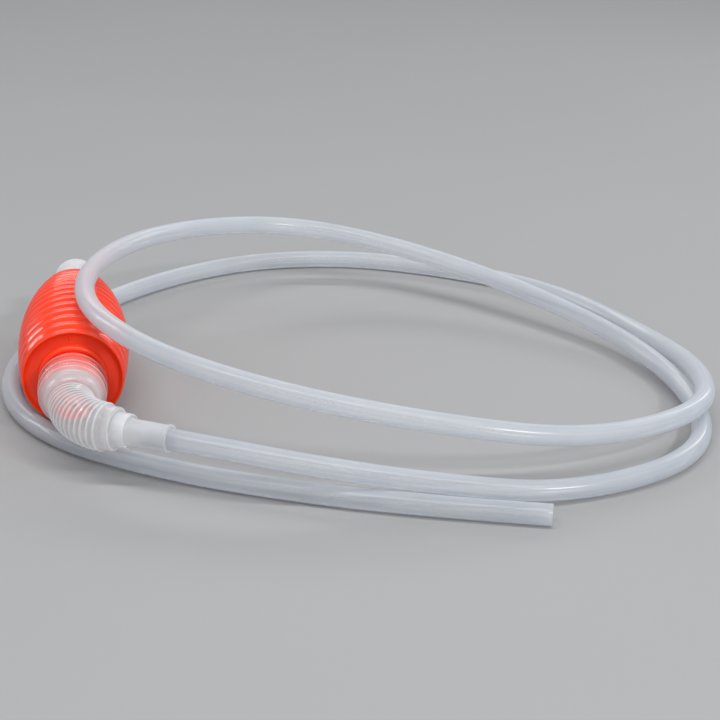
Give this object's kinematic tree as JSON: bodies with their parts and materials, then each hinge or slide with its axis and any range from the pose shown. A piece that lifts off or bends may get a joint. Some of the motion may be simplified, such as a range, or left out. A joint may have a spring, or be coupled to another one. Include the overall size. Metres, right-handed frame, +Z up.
{
  "type": "siphon pump",
  "caption": "Ribbed squeeze-bulb siphon with a flexible corrugated elbow, ball check valves and a long loose translucent hose.",
  "frame": {"origin": "centre of the footprint of the bulb and its fittings, on the surface that they lie on", "axes": "+Y along the bulb's axis from the outlet elbow to the intake, +X towards the side that the elbow and the hose point to, +Z up"},
  "size_m": [0.3634, 0.3509, 0.0684],
  "materials": {
    "bulb_red": "glossy blow-moulded plastic, slightly translucent orange-red",
    "milky_fitting": "thin milky translucent plastic, glossy",
    "socket_white": "milky white translucent plastic, thicker wall",
    "hose_clear": "smooth milky translucent flexible tube",
    "valve_plastic": "natural white moulded plastic",
    "valve_ball": "smooth white plastic ball",
    "seal_rubber": "pale soft sealing washer"
  },
  "bodies": {
    "outlet_side": {"flexible_elbow": "milky_fitting", "hose_socket": "socket_white", "hose": "hose_clear"},
    "bulb": {"squeeze_bulb": "bulb_red", "outlet_valve_seat": "bulb_red", "outlet_valve_cage": "bulb_red", "outlet_seal": "seal_rubber", "inlet_valve_seat": "valve_plastic", "inlet_valve_cage": "valve_plastic", "inlet_seal": "seal_rubber"},
    "intake": {"inlet_fitting": "milky_fitting", "inlet_strainer": "valve_plastic"},
    "outlet_ball": {"outlet_valve_ball": "valve_ball"},
    "inlet_ball": {"inlet_valve_ball": "valve_ball"}
  },
  "joints": [
    {"name": "bulb_swivel", "type": "hinge", "parent": "outlet_side", "child": "bulb", "pos_m": [-0.01, -0.04, 0.028], "axis": [0, 1, 0], "continuous": true},
    {"name": "intake_swivel", "type": "hinge", "parent": "bulb", "child": "intake", "pos_m": [-0.01, 0.087, 0.028], "axis": [0, 1, 0], "continuous": true},
    {"name": "outlet_ball_lift", "type": "slide", "parent": "bulb", "child": "outlet_ball", "axis": [0, -1, 0], "range_m": [0, 0.003]},
    {"name": "inlet_ball_lift", "type": "slide", "parent": "bulb", "child": "inlet_ball", "axis": [0, -1, 0], "range_m": [0, 0.0025]}
  ]
}
